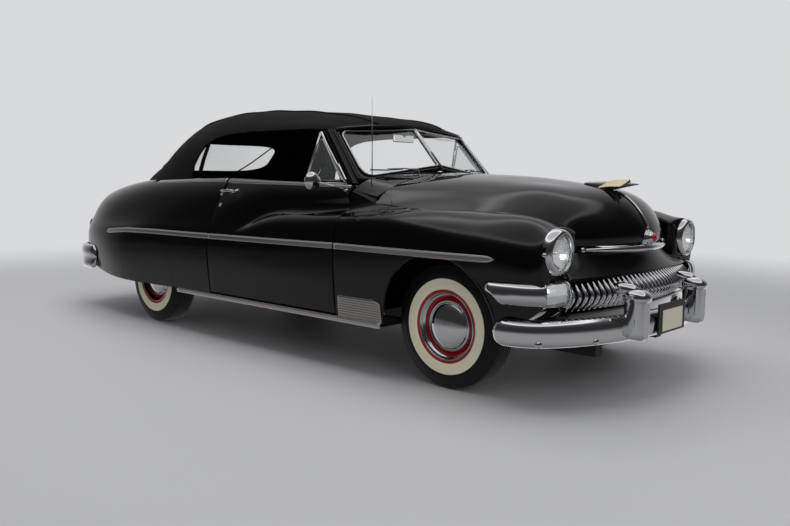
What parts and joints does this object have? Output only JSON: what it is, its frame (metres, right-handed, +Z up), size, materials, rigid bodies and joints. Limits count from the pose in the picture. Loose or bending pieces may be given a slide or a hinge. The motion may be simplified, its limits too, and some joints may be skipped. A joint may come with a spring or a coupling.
{
  "type": "two-door convertible car of the early 1950s",
  "caption": "Full-size black two-door convertible with its fabric top up, opening doors, hood and trunk lid, steered front wheels and free-rolling wheels.",
  "frame": {"origin": "on the ground below the middle of the car's length and width", "axes": "+X forward, +Y to the car's left, +Z up"},
  "size_m": [5.422, 2.096, 1.6711],
  "materials": {
    "black_enamel": "gloss",
    "bright_plate": "polished",
    "top_canvas": "matte",
    "clear_glass": "polished",
    "red_lens": "gloss",
    "chassis_black": "satin",
    "engine_iron": "satin",
    "seat_leather": "satin",
    "dash_enamel": "gloss",
    "wheel_rim_plastic": "gloss",
    "tyre_rubber": "satin",
    "wheel_red": "gloss"
  },
  "bodies": {
    "root": {"cowl": "black_enamel", "front_fender_left": "black_enamel", "front_fender_right": "black_enamel", "rear_body": "black_enamel", "fender_skirts": "black_enamel", "soft_top": "top_canvas", "rear_window": "clear_glass", "top_bows": "chassis_black", "windshield_frame": "bright_plate", "windshield_glass": "clear_glass", "floor_pan": "chassis_black", "chassis_frame": "chassis_black", "engine_block": "engine_iron", "front_suspension": "chassis_black", "rear_axle": "chassis_black", "exhaust_system": "chassis_black", "fuel_tank": "chassis_black", "front_bumper": "bright_plate", "rear_bumper": "bright_plate", "nose_panel": "black_enamel", "grille": "bright_plate", "front_lamps": "clear_glass", "tail_lamps": "red_lens", "dashboard": "dash_enamel", "steering_column": "chassis_black", "front_seat": "seat_leather", "rear_seat": "seat_leather", "side_mouldings": "bright_plate", "rocker_mouldings": "bright_plate", "cowl_fittings": "bright_plate"},
    "hood_assembly": {"hood": "black_enamel", "hood_trim": "bright_plate"},
    "trunk_assembly": {"trunk_lid": "black_enamel", "trunk_handle": "bright_plate"},
    "door_left_assembly": {"door_left": "black_enamel", "door_left_trim": "bright_plate"},
    "door_right_assembly": {"door_right": "black_enamel", "door_right_trim": "bright_plate"},
    "knuckle_left_body": {"knuckle_left": "chassis_black"},
    "knuckle_right_body": {"knuckle_right": "chassis_black"},
    "steering_wheel_body": {"steering_wheel": "wheel_rim_plastic"},
    "wheel_front_left_body": {"tyre_front_left": "tyre_rubber", "wheel_front_left": "wheel_red"},
    "wheel_front_right_body": {"tyre_front_right": "tyre_rubber", "wheel_front_right": "wheel_red"},
    "wheel_rear_left_body": {"tyre_rear_left": "tyre_rubber", "wheel_rear_left": "wheel_red"},
    "wheel_rear_right_body": {"tyre_rear_right": "tyre_rubber", "wheel_rear_right": "wheel_red"}
  },
  "joints": [
    {"name": "hood_hinge", "type": "hinge", "parent": "root", "child": "hood_assembly", "pos_m": [1.157, 0, 1.204], "axis": [0, -1, 0], "range_deg": [0, 48]},
    {"name": "trunk_hinge", "type": "hinge", "parent": "root", "child": "trunk_assembly", "pos_m": [-1.996, 0, 1.105], "axis": [0, 1, 0], "range_deg": [0, 62]},
    {"name": "door_left_hinge", "type": "hinge", "parent": "root", "child": "door_left_assembly", "pos_m": [0.994, 0.97, 0.7], "axis": [0, 0, -1], "range_deg": [0, 64]},
    {"name": "door_right_hinge", "type": "hinge", "parent": "root", "child": "door_right_assembly", "pos_m": [0.994, -0.97, 0.7], "axis": [0, 0, 1], "range_deg": [0, 64]},
    {"name": "steer_left", "type": "hinge", "parent": "root", "child": "knuckle_left_body", "pos_m": [1.76, 0.655, 0.352], "axis": [0, 0, 1], "range_deg": [-30, 30]},
    {"name": "steer_right", "type": "hinge", "parent": "root", "child": "knuckle_right_body", "pos_m": [1.76, -0.655, 0.352], "axis": [0, 0, 1], "range_deg": [-30, 30]},
    {"name": "steering_wheel_turn", "type": "hinge", "parent": "root", "child": "steering_wheel_body", "pos_m": [0.47, 0.375, 1], "axis": [-0.8829, 0, 0.4695], "range_deg": [-600, 600]},
    {"name": "spin_front_left", "type": "hinge", "parent": "knuckle_left_body", "child": "wheel_front_left_body", "pos_m": [1.76, 0.743, 0.352], "axis": [0, 1, 0], "continuous": true},
    {"name": "spin_front_right", "type": "hinge", "parent": "knuckle_right_body", "child": "wheel_front_right_body", "pos_m": [1.76, -0.743, 0.352], "axis": [0, 1, 0], "continuous": true},
    {"name": "spin_rear_left", "type": "hinge", "parent": "root", "child": "wheel_rear_left_body", "pos_m": [-1.237, 0.762, 0.352], "axis": [0, 1, 0], "continuous": true},
    {"name": "spin_rear_right", "type": "hinge", "parent": "root", "child": "wheel_rear_right_body", "pos_m": [-1.237, -0.762, 0.352], "axis": [0, 1, 0], "continuous": true}
  ],
  "couplings": [
    {"joint": "steer_right", "follows": "steer_left", "ratio": 1},
    {"joint": "steering_wheel_turn", "follows": "steer_left", "ratio": 18}
  ]
}
